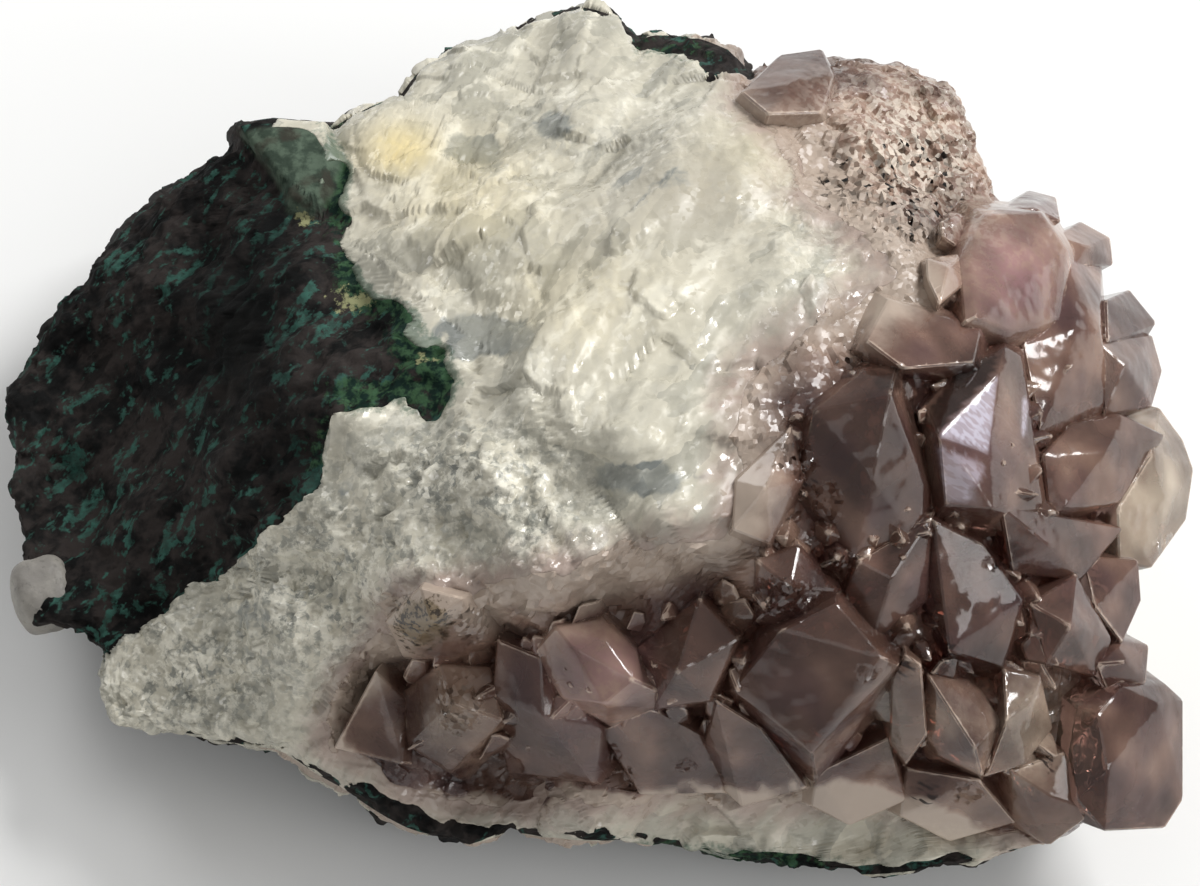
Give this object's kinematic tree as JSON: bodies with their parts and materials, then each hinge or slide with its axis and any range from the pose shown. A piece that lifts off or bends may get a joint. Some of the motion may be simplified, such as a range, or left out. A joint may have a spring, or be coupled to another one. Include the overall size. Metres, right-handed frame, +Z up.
{
  "type": "rough amethyst",
  "caption": "Rough fragment of a geode wall: a crust of brown-mauve amethyst crystals on milky quartz and dark host rock, lying on a flat underside.",
  "frame": {"origin": "on the table under the middle of the piece's bounding box", "axes": "+X to the crystals' side, along the longest extent; +Y to the back; +Z up from the flat underside"},
  "size_m": [0.0812, 0.0624, 0.0359],
  "materials": {
    "basalt": "rough broken host rock, dark brown-grey with teal-green stains",
    "milky_quartz": "broken milky quartz, white to grey with small glints",
    "amethyst": "clear to cloudy brown-mauve crystal with glossy faces",
    "pale_quartz": "smooth pale grey quartz"
  },
  "bodies": {
    "root": {"basalt_rind": "basalt", "milky_quartz_band": "milky_quartz", "amethyst_druse": "amethyst", "quartz_nodule": "pale_quartz"}
  },
  "joints": []
}
